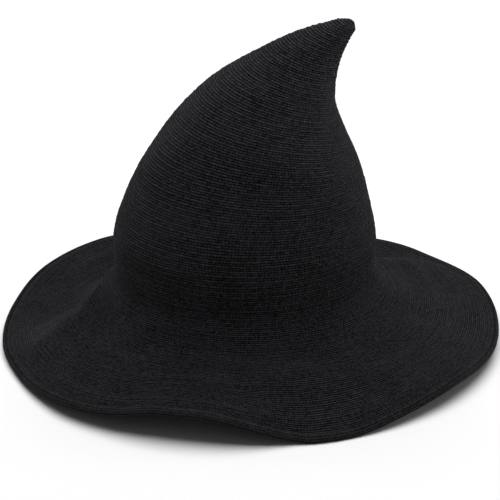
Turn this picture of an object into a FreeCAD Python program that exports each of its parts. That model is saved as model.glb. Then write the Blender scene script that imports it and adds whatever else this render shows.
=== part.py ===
import FreeCAD, Part
import os
from math import cos, hypot, pi, radians, sin

# A knitted witch hat standing on z = 0 with its head opening facing down.
# The front of the hat is toward -Y, and the tip curls toward +X.
# Lengths are in millimetres and angles in degrees, counted from +X toward +Y.

KNIT_THICKNESS = 3.0
CROWN_SHIFT = -4.0          # the crown stands this far off the brim's centre, along X

# Outer edge of the hem: angle, radius in plan, height of the hem's middle.
BRIM_EDGE = [
    (-76, 190, 2.4), (-68, 191, 2.4), (-54, 191, 8), (-36, 193.5, 13), (-10, 199, 9),
    (18, 202.5, 15.5), (40, 194, 16), (60, 194, 12), (80, 190, 3), (90, 190, 2),
    (100, 193, 3), (114, 198, 10), (131, 200, 17), (150, 201.5, 14.5), (170, 199, 8),
    (190, 199, 4), (204, 197.5, 4), (224, 199, 10), (238, 195, 15), (250, 190, 22), (261, 188, 21),
    (272, 188, 12), (279, 188, 5),
]
# Upper face of the brim halfway between hem and crown: angle, height.
BRIM_HALFWAY = [
    (-90, 28), (-70, 27), (-50, 25), (-25, 25), (0, 26), (27, 30), (48, 18), (90, 14),
    (120, 10), (145, 9), (165, 9), (178, 14), (192, 28), (208, 26), (235, 27), (255, 31),
]
# Foot of the crown, where the wall flares into the brim.
FLARE_HEIGHT = 43.0
FLARE_ACROSS = 117.0
FLARE_DEEP = 106.0
FLARE_FOLLOWS_BRIM = 0.15   # part of the brim's waves that reaches the flare

# Rings of the crown: height of the centre, offset along X from the crown's foot,
# tilt down toward +X, half width across, half width deep.
CROWN_RINGS = [
    (62, 0, 0, 103.5, 94), (85, 0, 0, 103.5, 94), (117, 2.6, 2, 96.6, 88), (146, 7.6, 6, 85.4, 79),
    (171, 14.5, 12, 72.5, 69), (193, 23, 18, 57.5, 56), (219, 36.5, 25, 36.3, 36),
    (241, 54.3, 28, 21.3, 21), (254, 70, 29, 11.5, 11.5), (260, 78, 30, 6.5, 6.5),
    (262.5, 81, 30, 2, 2),
]

HEM_WIDTH = 6.4
HEM_HEIGHT = 4.0
HEM_BORE = 1.75             # radius of the tunnel inside the hem
HEM_GAP = 0.6               # between the hem and the brim it edges
THREAD = 0.4                # radius of the sewing threads
THREAD_LIFT = 0.2           # clear of the knit it lies on
TIP_THREAD_STATION = 8.0    # from the tip's end, along the wall
WIRE = 0.75                 # radius of the brim wire
WIRE_JOINT_ANGLE = 90.0
WIRE_HALF_GAP = 0.6         # degrees between the joint's middle and each wire end
JOINER_BORE = 1.0
JOINER_WALL = 0.5
JOINER_HALF_ANGLE = 4.0

BEND_HEIGHT = 206.0         # height of the pivot the tip bends about
BEND_HALF_LENGTH = 20.0     # the knit that stretches reaches this far each way
BODY_GAP = 0.4              # between the stretching knit and the stiff tip

BAND_ACROSS = 97.0          # inside of the sweatband, 580 mm round
BAND_DEEP = 88.0
BAND_THICKNESS = 1.6
BAND_FOOT = 54.0
BAND_HEIGHT = 30.0

SAMPLES_AROUND = 72


def slope(knots, values, i):
    """Slope at knot i of a smooth curve that doesn't overshoot its values."""
    if i == 0:
        return (values[1] - values[0]) / (knots[1] - knots[0])
    if i == len(knots) - 1:
        return (values[i] - values[i - 1]) / (knots[i] - knots[i - 1])
    before = knots[i] - knots[i - 1]
    after = knots[i + 1] - knots[i]
    rise_before = (values[i] - values[i - 1]) / before
    rise_after = (values[i + 1] - values[i]) / after
    if rise_before * rise_after <= 0:
        return 0.0
    return (rise_before * after + rise_after * before) / (before + after)


def smooth(knots, values, at):
    """Value at a place on a smooth curve through the values at rising knots."""
    i = 0
    while i < len(knots) - 2 and knots[i + 1] < at:
        i += 1
    span = knots[i + 1] - knots[i]
    t = (at - knots[i]) / span
    rise = values[i + 1] - values[i]
    bend_start = slope(knots, values, i) * span - rise
    bend_end = rise - slope(knots, values, i + 1) * span
    return values[i] + t * rise + t * (1 - t) * ((1 - t) * bend_start + t * bend_end)


def around(table, column, angle):
    """Value of a table's column at any angle round the hat."""
    start = table[0][0]
    at = (angle - start) % 360 + start
    before = [row[0] - 360 for row in table[-2:]]
    after = [row[0] + 360 for row in table[:2]]
    knots = before + [row[0] for row in table] + after
    column_values = [row[column] for row in table]
    values = column_values[-2:] + column_values + column_values[:2]
    return smooth(knots, values, at)


def edge_radius(angle):
    return around(BRIM_EDGE, 1, angle)


def edge_height(angle):
    return around(BRIM_EDGE, 2, angle)


def brim_rim_point(angle):
    """Upper face of the knit where it meets the hem."""
    radius = edge_radius(angle) - HEM_WIDTH - HEM_GAP
    turn = radians(angle)
    return (radius * cos(turn), radius * sin(turn), edge_height(angle) + KNIT_THICKNESS / 2)


def flare_point(angle):
    turn = radians(angle)
    wave = around(BRIM_HALFWAY, 1, angle) - 26
    height = FLARE_HEIGHT + FLARE_FOLLOWS_BRIM * wave
    return (CROWN_SHIFT + FLARE_ACROSS * cos(turn), FLARE_DEEP * sin(turn), height)


def halfway_point(angle):
    rim = brim_rim_point(angle)
    flare = flare_point(angle)
    return ((rim[0] + flare[0]) / 2, (rim[1] + flare[1]) / 2, around(BRIM_HALFWAY, 1, angle))


def crown_point(ring, angle):
    height, offset, tilt, across, deep = ring
    turn = radians(angle)
    reach = across * cos(turn)
    lean = radians(tilt)
    x = CROWN_SHIFT + offset + reach * cos(lean)
    return (x, deep * sin(turn), height - reach * sin(lean))


def ring_stations():
    """Distance along the hat's wall from the hem to each of its rings."""
    places = [(190, 10, 0), (153, 22, 0), (FLARE_ACROSS, FLARE_HEIGHT, 0)]
    places += [(ring[3], ring[0], ring[1]) for ring in CROWN_RINGS]
    stations = [0.0]
    for a, b in zip(places, places[1:]):
        step = hypot(hypot(b[0] - a[0], b[1] - a[1]), b[2] - a[2])
        stations.append(stations[-1] + step)
    return stations


STATIONS = ring_stations()
CROWN_FOOT = STATIONS[3]
TIP_END = STATIONS[-1]


def outer_point(angle, station):
    """Point on the outer face of the knit."""
    rings = [brim_rim_point(angle), halfway_point(angle), flare_point(angle)]
    rings += [crown_point(ring, angle) for ring in CROWN_RINGS]
    return FreeCAD.Vector(*[smooth(STATIONS, [p[k] for p in rings], station) for k in range(3)])


def wall_point(angle, station, depth):
    """Point at a depth below the outer face of the knit."""
    small = 0.5
    low = max(station - small, 0.0)
    high = min(station + small, TIP_END)
    along = outer_point(angle, high) - outer_point(angle, low)
    round_the_hat = outer_point(angle + small, station) - outer_point(angle - small, station)
    outward = round_the_hat.cross(along)
    if station == 0:
        outward = FreeCAD.Vector(0, 0, 1)   # the brim's cut edge stands square to the hem
    outward.normalize()
    return outer_point(angle, station) - outward * depth


def inner_point(angle, station):
    return wall_point(angle, station, KNIT_THICKNESS)


def bend_station():
    """Station whose ring centre is at the height of the bend."""
    heights = [0, 0, 0] + [ring[0] for ring in CROWN_RINGS]
    station = CROWN_FOOT
    while smooth(STATIONS, heights, station) < BEND_HEIGHT:
        station += 0.1
    return station


BEND_MIDDLE = bend_station()
BEND_START = BEND_MIDDLE - BEND_HALF_LENGTH
BEND_END = BEND_MIDDLE + BEND_HALF_LENGTH


def closed_curve(point_at, samples=SAMPLES_AROUND):
    """Smooth closed wire through the points of a function of the angle."""
    step = 360 / samples
    points = [point_at(i * step) for i in range(samples)]
    angles = [i * step for i in range(samples + 1)]
    curve = Part.BSplineCurve()
    curve.interpolate(Points=points, PeriodicFlag=True, Parameters=angles)
    return Part.Wire([curve.toShape()])


def skin(curves, ruled=False, closed=False):
    """Faces of a surface stretched over closed curves."""
    return Part.makeLoft(curves, False, ruled, closed).Faces


def solid_from(faces):
    shell = Part.makeShell(faces)
    shell.sewShape()
    solid = Part.makeSolid(Part.Shell(shell.Faces))
    if solid.Volume < 0:
        solid.reverse()
    return solid


def stations_between(start, end, count):
    return [start + (end - start) * i / (count - 1) for i in range(count)]


def knit_wall(start, end, count):
    """Open length of the knitted wall, between two stations."""
    stations = stations_between(start, end, count)
    outer = [closed_curve(lambda a, s=s: outer_point(a, s)) for s in stations]
    inner = [closed_curve(lambda a, s=s: inner_point(a, s)) for s in stations]
    faces = skin(outer) + skin(inner)
    faces += skin([outer[0], inner[0]], ruled=True)
    faces += skin([outer[-1], inner[-1]], ruled=True)
    return solid_from(faces)


def brim():
    return knit_wall(0.0, CROWN_FOOT, 9)


def crown_lower():
    return knit_wall(CROWN_FOOT, BEND_START, 9)


def crown_bend():
    return knit_wall(BEND_START, BEND_END - BODY_GAP, 5)


def crown_tip():
    """Closed end of the crown, hollow up to the last few rows."""
    hollow_end = TIP_END - 20.0
    outer_stations = stations_between(BEND_END, TIP_END, 9)
    inner_stations = stations_between(BEND_END, hollow_end, 6)
    outer = [closed_curve(lambda a, s=s: outer_point(a, s)) for s in outer_stations]
    inner = [closed_curve(lambda a, s=s: inner_point(a, s)) for s in inner_stations]
    faces = skin(outer) + skin(inner)
    faces += skin([outer[0], inner[0]], ruled=True)
    faces += [Part.makeFilledFace(outer[-1].Edges), Part.makeFilledFace(inner[-1].Edges)]
    return solid_from(faces)


def edge_point(angle, out, up):
    """Point near the brim's edge, moved out along the radius and up."""
    radius = edge_radius(angle) + out
    turn = radians(angle)
    return FreeCAD.Vector(radius * cos(turn), radius * sin(turn), edge_height(angle) + up)


def ring_section(point_at, angle, middle, half_width, half_height, corners):
    """Many-sided section of a tube that runs round the hat."""
    points = []
    for i in range(corners + 1):
        turn = 2 * pi * (i % corners) / corners
        out = middle[0] + half_width * cos(turn)
        points.append(point_at(angle, out, middle[1] + half_height * sin(turn)))
    return Part.makePolygon(points)


def closed_tube(point_at, middle, half_width, half_height, corners):
    """Tube that runs all the way round the hat."""
    sections = []
    for i in range(SAMPLES_AROUND):
        angle = i * 360 / SAMPLES_AROUND
        sections.append(ring_section(point_at, angle, middle, half_width, half_height, corners))
    return solid_from(skin(sections, ruled=True, closed=True))


def hem_middle_rod(start, end, step, radius):
    """Rod that follows the middle of the hem between two angles."""
    middle = (-HEM_WIDTH / 2, 0)
    sections = []
    for angle in stations_between(start, end, round((end - start) / step) + 1):
        sections.append(ring_section(edge_point, angle, middle, radius, radius, 12))
    return Part.makeLoft(sections, True, True)


def brim_hem():
    """Turned edge of the brim with the wire's tunnel inside it."""
    middle = (-HEM_WIDTH / 2, 0)
    outside = closed_tube(edge_point, middle, HEM_WIDTH / 2, HEM_HEIGHT / 2, 12)
    tunnel = closed_tube(edge_point, middle, HEM_BORE, HEM_BORE, 12)
    return outside.cut(tunnel)


def hem_stitching():
    """Thread lying in the groove between hem and brim."""
    middle = (-HEM_WIDTH - HEM_GAP / 2, HEM_HEIGHT / 2 + THREAD + THREAD_LIFT)
    return closed_tube(edge_point, middle, THREAD, THREAD, 6)


def brim_wire():
    """Spring steel wire, cut where its ends meet in the joiner."""
    start = WIRE_JOINT_ANGLE + WIRE_HALF_GAP
    end = WIRE_JOINT_ANGLE + 360 - WIRE_HALF_GAP
    return hem_middle_rod(start, end, 5, WIRE)


def wire_joiner():
    """Crimped sleeve over the two ends of the wire."""
    start = WIRE_JOINT_ANGLE - JOINER_HALF_ANGLE
    end = WIRE_JOINT_ANGLE + JOINER_HALF_ANGLE
    outside = hem_middle_rod(start, end, 2, JOINER_BORE + JOINER_WALL)
    return outside.cut(hem_middle_rod(start - 2, end + 2, 2, JOINER_BORE))


def oval_prism(across, deep, foot, height):
    oval = Part.Ellipse(FreeCAD.Vector(CROWN_SHIFT, 0, foot), across, deep).toShape()
    return Part.Face(Part.Wire([oval])).extrude(FreeCAD.Vector(0, 0, height))


def sweatband():
    outside = oval_prism(BAND_ACROSS + BAND_THICKNESS, BAND_DEEP + BAND_THICKNESS,
                         BAND_FOOT, BAND_HEIGHT)
    inside = oval_prism(BAND_ACROSS, BAND_DEEP, BAND_FOOT - 1, BAND_HEIGHT + 2)
    return outside.cut(inside)


def band_point(angle, inward, height):
    """Point on the band's inside, moved inward."""
    turn = radians(angle)
    x = CROWN_SHIFT + (BAND_ACROSS - inward) * cos(turn)
    return FreeCAD.Vector(x, (BAND_DEEP - inward) * sin(turn), height)


def sweatband_stitching():
    """Thread that runs round the inside of the band, near its foot."""
    return closed_tube(band_point, (THREAD + 0.1, BAND_FOOT + 3), THREAD, THREAD, 6)


# Pieces on the band's inside follow the circle that fits the oval where they sit.
BACK_RADIUS = BAND_ACROSS ** 2 / BAND_DEEP
BACK_CENTRE_Y = BAND_DEEP - BACK_RADIUS
SIDE_RADIUS = BAND_DEEP ** 2 / BAND_ACROSS
SIDE_CENTRE_X = CROWN_SHIFT - (BAND_ACROSS - SIDE_RADIUS)


def arc_strip(centre_x, centre_y, outer_radius, thickness, start, end, foot, height):
    """Upright strip bent along a circle, between two angles."""
    base = FreeCAD.Vector(centre_x, centre_y, foot)
    up = FreeCAD.Vector(0, 0, 1)
    outside = Part.makeCylinder(outer_radius, height, base, up, end - start)
    inside = Part.makeCylinder(outer_radius - thickness, height + 2, base - up, up, 360)
    strip = outside.cut(inside)
    strip.rotate(base, up, start)
    return strip


TAPE_GAP = 0.3              # from the band to the tape, and from there to the tab
PAD_THICKNESS = 1.0
TAB_THICKNESS = 1.4
TAB_HEIGHT = 20.0
TAB_FOOT = 60.0
PAD_OUTER = BACK_RADIUS - TAPE_GAP
TAB_OUTER = PAD_OUTER - PAD_THICKNESS - 0.4


def adjuster_pad():
    """Loop pad sewn to the band at the back."""
    return arc_strip(CROWN_SHIFT, BACK_CENTRE_Y, PAD_OUTER, PAD_THICKNESS,
                     82, 108, TAB_FOOT, TAB_HEIGHT)


def adjuster_tab():
    """Hook tab that lies on the pad and pulls the band's tape tighter."""
    return arc_strip(CROWN_SHIFT, BACK_CENTRE_Y, TAB_OUTER, TAB_THICKNESS,
                     68, 96, TAB_FOOT, TAB_HEIGHT)


def band_seam_tape():
    """Tape over the joint of the band's two ends, beside the adjuster."""
    return arc_strip(CROWN_SHIFT, BACK_CENTRE_Y, PAD_OUTER, 0.6,
                     113, 120, BAND_FOOT + 4, BAND_HEIGHT - 5)


def size_label():
    """Blank folded label sewn to the band at the left."""
    return arc_strip(SIDE_CENTRE_X, 0, SIDE_RADIUS - 0.3, 0.6,
                     170, 190, BAND_FOOT + 5, 20)


def tip_thread():
    """Gathering thread that closes the last rows, tied round the tip's end."""
    station = TIP_END - TIP_THREAD_STATION
    return closed_tube(lambda angle, out, along: wall_point(angle, station + along, -out),
                       (THREAD + THREAD_LIFT, 0), THREAD, THREAD, 6)


NODES = {
    "brim": brim,
    "crown_lower": crown_lower,
    "crown_bend": crown_bend,
    "crown_tip": crown_tip,
    "tip_thread": tip_thread,
    "brim_hem": brim_hem,
    "hem_stitching": hem_stitching,
    "brim_wire": brim_wire,
    "wire_joiner": wire_joiner,
    "sweatband": sweatband,
    "sweatband_stitching": sweatband_stitching,
    "band_seam_tape": band_seam_tape,
    "adjuster_pad": adjuster_pad,
    "adjuster_tab": adjuster_tab,
    "size_label": size_label,
}

os.makedirs("parts", exist_ok=True)
for node, build in NODES.items():
    build().exportStep("parts/" + node + ".step")
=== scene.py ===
from math import cos, pi, radians, sin

import bpy
import numpy as np
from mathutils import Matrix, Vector


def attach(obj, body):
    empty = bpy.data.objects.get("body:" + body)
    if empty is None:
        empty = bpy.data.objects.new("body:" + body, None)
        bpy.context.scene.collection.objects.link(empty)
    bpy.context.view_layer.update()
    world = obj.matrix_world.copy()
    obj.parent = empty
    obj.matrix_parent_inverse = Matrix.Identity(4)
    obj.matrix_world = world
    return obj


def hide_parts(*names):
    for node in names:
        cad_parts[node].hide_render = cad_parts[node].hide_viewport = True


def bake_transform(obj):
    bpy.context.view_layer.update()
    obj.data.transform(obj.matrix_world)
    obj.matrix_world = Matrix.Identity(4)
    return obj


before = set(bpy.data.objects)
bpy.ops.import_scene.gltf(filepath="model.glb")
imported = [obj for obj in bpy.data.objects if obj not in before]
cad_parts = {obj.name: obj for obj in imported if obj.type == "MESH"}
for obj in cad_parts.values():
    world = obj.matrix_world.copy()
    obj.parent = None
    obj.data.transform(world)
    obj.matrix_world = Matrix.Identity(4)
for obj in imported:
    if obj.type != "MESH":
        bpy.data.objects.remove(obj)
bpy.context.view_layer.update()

MM = 0.001

# ---------------------------------------------------------------- shape of the hat
# Millimetres and degrees, as the frame's own parts have them. +X is the side the tip curls to.

KNIT_THICKNESS = 3.0
CROWN_SHIFT = -4.0

# Outer edge of the hem: angle, radius in plan, height of the hem's middle.
BRIM_EDGE = [
    (-76, 190, 2.4), (-68, 191, 2.4), (-54, 191, 8), (-36, 193.5, 13), (-10, 199, 9),
    (18, 202.5, 15.5), (40, 194, 16), (60, 194, 12), (80, 190, 3), (90, 190, 2),
    (100, 193, 3), (114, 198, 10), (131, 200, 17), (150, 201.5, 14.5), (170, 199, 8),
    (190, 199, 4), (204, 197.5, 4), (224, 199, 10), (238, 195, 15), (250, 190, 22), (261, 188, 21),
    (272, 188, 12), (279, 188, 5),
]
# Upper face of the brim halfway between hem and crown: angle, height.
BRIM_HALFWAY = [
    (-90, 28), (-70, 27), (-50, 25), (-25, 25), (0, 26), (27, 30), (48, 18), (90, 14),
    (120, 10), (145, 9), (165, 9), (178, 14), (192, 28), (208, 26), (235, 27), (255, 31),
]
FLARE_HEIGHT = 43.0
FLARE_ACROSS = 117.0
FLARE_DEEP = 106.0
FLARE_FOLLOWS_BRIM = 0.15   # share of the brim's wave that is left at the crown's foot
HALFWAY_MEAN = 26
# Radius and height of an average hem and of the place halfway, which distances along the wall use.
AVERAGE_RIM = (190, 10, 0)
AVERAGE_HALFWAY = (153, 22, 0)

# Rings of the crown: height, offset along X, tilt toward +X, half width across, half width deep.
CROWN_RINGS = [
    (62, 0, 0, 103.5, 94), (85, 0, 0, 103.5, 94), (117, 2.6, 2, 96.6, 88), (146, 7.6, 6, 85.4, 79),
    (171, 14.5, 12, 72.5, 69), (193, 23, 18, 57.5, 56), (219, 36.5, 25, 36.3, 36),
    (241, 54.3, 28, 21.3, 21), (254, 70, 29, 11.5, 11.5), (260, 78, 30, 6.5, 6.5),
    (262.5, 81, 30, 2, 2),
]
HEM_WIDTH = 6.4
HEM_HEIGHT = 4.0
HEM_GAP = 0.6

BRIM_ROW_PITCH = 1.62       # from one knitted row to the next
CROWN_ROW_PITCH = 2.0
STITCH_WIDTH = 2.5
ROW_DEPTH = 0.7             # from a row's top to the groove beside it
OUTER_STEPS = 3             # points across each row on the outside
BRIM_COLUMNS = 256          # points round each ring of the knit
CROWN_COLUMNS = 224
CROWN_INNER_ROWS = 34
CLOSED_TIP = 18.0           # how much of the tip is closed solid by its gathered rows
PEAK_STEPS = 1.4            # how far the closing point stands past the last ring, in ring steps
ROW_HEIGHTS = (0.78, 1.2)   # least and greatest share of the depth that a row stands up by
PAIR_HEIGHTS = (1.14, 0.86)  # every second row is lower than its neighbours
INNER_RELIEF = 0.6          # the same share inside the brim, where each row is followed
# How much less the knitted rows lean than the crown's rings do, at each ring.
ROW_LEAN_EASE = [0, 0, 0, 1, 2, 4, 7, 9, 9, 6, 0]

# Slow dents of soft knit, and how far its rows stray: seed, longest wave, size (in rows for the strays).
DENTS = (3, 160.0, 0.7)
DENTS_FADE = 25.0           # over this length from either end of the wall
STRAYS = [(21, 40.0, 0.11), (22, 14.0, 0.07)]
STRAYS_FADE = 8.0

# Crests and hollows that sharpen the brim's waves: the angle where each runs at every one of the
# stations, its height and its half width in degrees.
CREST_STATIONS = [0, 30, 60, 76, 95]
BRIM_CRESTS = [
    ([200, 201, 198, 188, 168], 7.0, 5.0),
    ([180, 180, 174, 164, 148], -5.0, 11.0),
    ([215, 216, 213, 206, 195], -3.0, 8.0),
    ([29, 29, 28, 27, 26], 4.0, 6.0),
    ([47, 47, 50, 50, 50], -3.0, 9.0),
]
CREST_RISE = (2.0, 22.0)    # clear of the hem, and over how far a crest then grows to its height
CREST_FALL = (8.0, 35.0)    # the same at the crown's foot

RNG = np.random.default_rng(11)


def smooth(knots, values, at):
    """Values at places on a smooth curve through the knots that doesn't overshoot them."""
    knots = np.asarray(knots, float)
    values = np.asarray(values, float)
    at = np.atleast_1d(np.asarray(at, float))
    wide = (-1,) + (1,) * (values.ndim - 1)
    steps = np.diff(knots).reshape(wide)
    rises = np.diff(values, axis=0) / steps
    before, after = steps[:-1], steps[1:]
    middle = (rises[:-1] * after + rises[1:] * before) / (before + after)
    middle = np.where(rises[:-1] * rises[1:] <= 0, 0.0, middle)
    slopes = np.concatenate([rises[:1], middle, rises[-1:]])
    i = np.clip(np.searchsorted(knots, at, side="left") - 1, 0, len(knots) - 2)
    t = ((at - knots[i]) / (knots[i + 1] - knots[i])).reshape(wide)
    rise = values[i + 1] - values[i]
    bend_start = slopes[i] * steps[i] - rise
    bend_end = rise - slopes[i + 1] * steps[i]
    return values[i] + t * rise + t * (1 - t) * ((1 - t) * bend_start + t * bend_end)


def around(table, column, angles):
    """Values of a table's column at angles round the hat."""
    knots = [row[0] for row in table]
    values = [row[column] for row in table]
    knots = [k - 360 for k in knots[-2:]] + knots + [k + 360 for k in knots[:2]]
    values = values[-2:] + values + values[:2]
    at = (np.asarray(angles, float) - table[0][0]) % 360 + table[0][0]
    return smooth(knots, values, at)


def edge_radius(angles):
    return around(BRIM_EDGE, 1, angles)


def edge_height(angles):
    return around(BRIM_EDGE, 2, angles)


def profile_rings(angles):
    """The hat's rings from the hem to the tip, each with a point at every angle."""
    turn = np.radians(angles)
    across, deep = np.cos(turn), np.sin(turn)
    radius = edge_radius(angles) - HEM_WIDTH - HEM_GAP
    wave = around(BRIM_HALFWAY, 1, angles)
    rim = np.stack([radius * across, radius * deep, edge_height(angles) + KNIT_THICKNESS / 2], 1)
    flare_height = FLARE_HEIGHT + FLARE_FOLLOWS_BRIM * (wave - HALFWAY_MEAN)
    flare = np.stack([CROWN_SHIFT + FLARE_ACROSS * across, FLARE_DEEP * deep, flare_height], 1)
    halfway = (rim + flare) / 2
    halfway[:, 2] = wave
    rings = [rim, halfway, flare]
    for height, offset, tilt, half_across, half_deep in CROWN_RINGS:
        reach = half_across * across
        lean = radians(tilt)
        x = CROWN_SHIFT + offset + reach * cos(lean)
        rings.append(np.stack([x, half_deep * deep, height - reach * sin(lean)], 1))
    return np.array(rings)


def distances_along(line):
    """Distance along a line of points from its start to each of them."""
    steps = np.linalg.norm(np.diff(np.array(line, float), axis=0), axis=1)
    return np.concatenate([[0.0], np.cumsum(steps)])


def ring_stations():
    """Distance along the hat's wall from the hem to each of its rings."""
    places = [AVERAGE_RIM, AVERAGE_HALFWAY, (FLARE_ACROSS, FLARE_HEIGHT, 0)]
    places += [(ring[3], ring[0], ring[1]) for ring in CROWN_RINGS]
    return distances_along(places)


STATIONS = ring_stations()
CROWN_FOOT = STATIONS[3]
TIP_END = STATIONS[-1]


def outer_wall(angles, stations):
    """Grid of points on the knit's outer face: one row for each station, in millimetres."""
    rings = profile_rings(angles)
    stations = np.asarray(stations, float)
    if stations.ndim == 1:
        return smooth(STATIONS, rings, stations)
    return np.stack([smooth(STATIONS, rings[:, i], stations[:, i]) for i in range(len(angles))], 1)


def eased_stations(angles, stations):
    """Stations of points along knitted rows, which lean less than the rings in the upper crown."""
    widths = [ring[3] for ring in CROWN_RINGS]
    width = smooth(STATIONS[3:], widths, stations)
    ease = np.radians(smooth(STATIONS[3:], ROW_LEAN_EASE, stations))
    return stations[:, None] + (width * np.tan(ease))[:, None] * np.cos(np.radians(angles))[None, :]


def outward_normals(grid):
    """Directions that point out of a grid whose rows close into rings."""
    round_the_hat = np.roll(grid, -1, axis=1) - np.roll(grid, 1, axis=1)
    along = np.gradient(grid, axis=0)
    outward = np.cross(round_the_hat, along)
    return outward / np.maximum(np.linalg.norm(outward, axis=2, keepdims=True), 1e-9)


def soft_waves(angles, stations, seed, longest, height):
    """Slow uneven dents that a soft knit has, as distances along the normal."""
    rng = np.random.default_rng(seed)
    stations = np.asarray(stations, float)
    stations = stations[:, None] if stations.ndim == 1 else stations
    total = np.zeros((len(stations), len(angles)))
    waves = 7
    for _ in range(waves):
        lobes = rng.integers(1, 6)
        along = rng.uniform(0.5, 2.0) * 2 * pi / longest
        phase = rng.uniform(0, 2 * pi, 2)
        wave = np.sin(np.radians(angles)[None, :] * lobes + phase[0])
        total += wave * np.sin(stations * along + phase[1])
    return total * height / waves ** 0.5


# ---------------------------------------------------------------- meshes

def new_object(name, points, faces, edges=()):
    mesh = bpy.data.meshes.new(name)
    mesh.from_pydata([tuple(p) for p in points], edges, faces)
    mesh.update()
    piece = bpy.data.objects.new(name, mesh)
    bpy.context.scene.collection.objects.link(piece)
    return piece


def ring_join(first, second, columns):
    """Quads from one ring of points to another."""
    low = first * columns
    high = second * columns
    return [(low + c, low + (c + 1) % columns, high + (c + 1) % columns, high + c) for c in range(columns)]


def ring_faces(rows, columns, closed_rows=False):
    """Quads between neighbouring rings of points."""
    faces = []
    for r in range(rows if closed_rows else rows - 1):
        faces += ring_join(r, (r + 1) % rows, columns)
    return faces


def shade_smooth(piece):
    piece.data.polygons.foreach_set("use_smooth", [True] * len(piece.data.polygons))
    return piece


def point_attribute(piece, name, values):
    attribute = piece.data.attributes.new(name, "FLOAT", "POINT")
    attribute.data.foreach_set("value", np.asarray(values, np.float32).ravel())


def corner_map(piece, name, corner_uv):
    layer = piece.data.uv_layers.new(name=name)
    layer.data.foreach_set("uv", np.asarray(corner_uv, np.float32).ravel())


def apply_nodes(piece, tree, values):
    """Runs a geometry tree on a piece and leaves the result as its plain mesh."""
    modifier = piece.modifiers.new(tree.name, "NODES")
    modifier.node_group = tree
    items = tree.interface.items_tree
    sockets = {item.name: item.identifier for item in items if item.in_out == "INPUT"}
    for name, value in values.items():
        modifier[sockets[name]] = value
    graph = bpy.context.evaluated_depsgraph_get()
    mesh = bpy.data.meshes.new_from_object(piece.evaluated_get(graph))
    mesh.name = piece.name
    piece.modifiers.remove(modifier)
    piece.data = mesh
    return piece


# ---------------------------------------------------------------- geometry trees

class Tree:
    """A geometry tree under construction: named inputs, nodes and links."""

    def __init__(self, name, inputs):
        self.group = bpy.data.node_groups.new(name, "GeometryNodeTree")
        self.group.interface.new_socket("Geometry", in_out="INPUT", socket_type="NodeSocketGeometry")
        for socket_name, kind in inputs.items():
            self.group.interface.new_socket(socket_name, in_out="INPUT", socket_type=kind)
        self.group.interface.new_socket("Geometry", in_out="OUTPUT", socket_type="NodeSocketGeometry")
        self.inputs = self.group.nodes.new("NodeGroupInput").outputs

    def node(self, kind, settings=None, **sockets):
        """Adds a node and gives its outputs; socket names use _ for a space, values may be links."""
        node = self.group.nodes.new(kind)
        for key, value in (settings or {}).items():
            setattr(node, key, value)
        for key, value in sockets.items():
            self.feed(node, key, value)
        return node.outputs

    def add(self, kind, settings=None, out=0, **sockets):
        return self.node(kind, settings, **sockets)[out]

    def feed(self, node, key, value):
        name = key.replace("_", " ")
        socket = node.inputs[int(key[1:])] if key[1:].isdigit() else node.inputs[name]
        if isinstance(value, bpy.types.NodeSocket):
            self.group.links.new(value, socket)
        else:
            socket.default_value = value

    def maths(self, operation, *values):
        sockets = {f"i{i}": value for i, value in enumerate(values)}
        return self.add("ShaderNodeMath", {"operation": operation}, **sockets)

    def finish(self, geometry, material):
        realized = self.add("GeometryNodeRealizeInstances", Geometry=geometry)
        done = self.add("GeometryNodeSetMaterial", Geometry=realized, Material=material)
        end = self.group.nodes.new("NodeGroupOutput")
        self.group.links.new(done, end.inputs["Geometry"])
        return self.group


def knit_rows_tree():
    """Raises a rounded ridge along every knitted row, uneven in height as wool is."""
    tree = Tree("knit_rows", {
        "Row Depth": "NodeSocketFloat", "Unevenness": "NodeSocketFloat", "Seed": "NodeSocketFloat",
        "Material": "NodeSocketMaterial",
    })
    inputs = tree.inputs
    row = tree.add("GeometryNodeInputNamedAttribute", {"data_type": "FLOAT"}, Name="row")
    share = tree.add("GeometryNodeInputNamedAttribute", {"data_type": "FLOAT"}, Name="relief")
    arch = tree.maths("ABSOLUTE", tree.maths("SINE", tree.maths("MULTIPLY", row, pi)))
    ridge = tree.maths("MULTIPLY", tree.maths("POWER", arch, 0.75), share)
    place = tree.add("GeometryNodeInputPosition")
    rough = tree.add("ShaderNodeTexNoise", {"noise_dimensions": "4D"}, Vector=place, W=inputs["Seed"],
                     Scale=230.0, Detail=2.0)
    uneven = tree.maths("MULTIPLY", tree.maths("SUBTRACT", rough, 0.5), inputs["Unevenness"])
    height = tree.maths("MULTIPLY", ridge, tree.maths("ADD", uneven, 1.0))
    height = tree.maths("MULTIPLY", height, inputs["Row Depth"])
    normal = tree.add("GeometryNodeInputNormal")
    offset = tree.add("ShaderNodeVectorMath", {"operation": "SCALE"}, i0=normal, Scale=height)
    moved = tree.add("GeometryNodeSetPosition", Geometry=inputs["Geometry"], Offset=offset)
    return tree.finish(moved, inputs["Material"])


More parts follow.
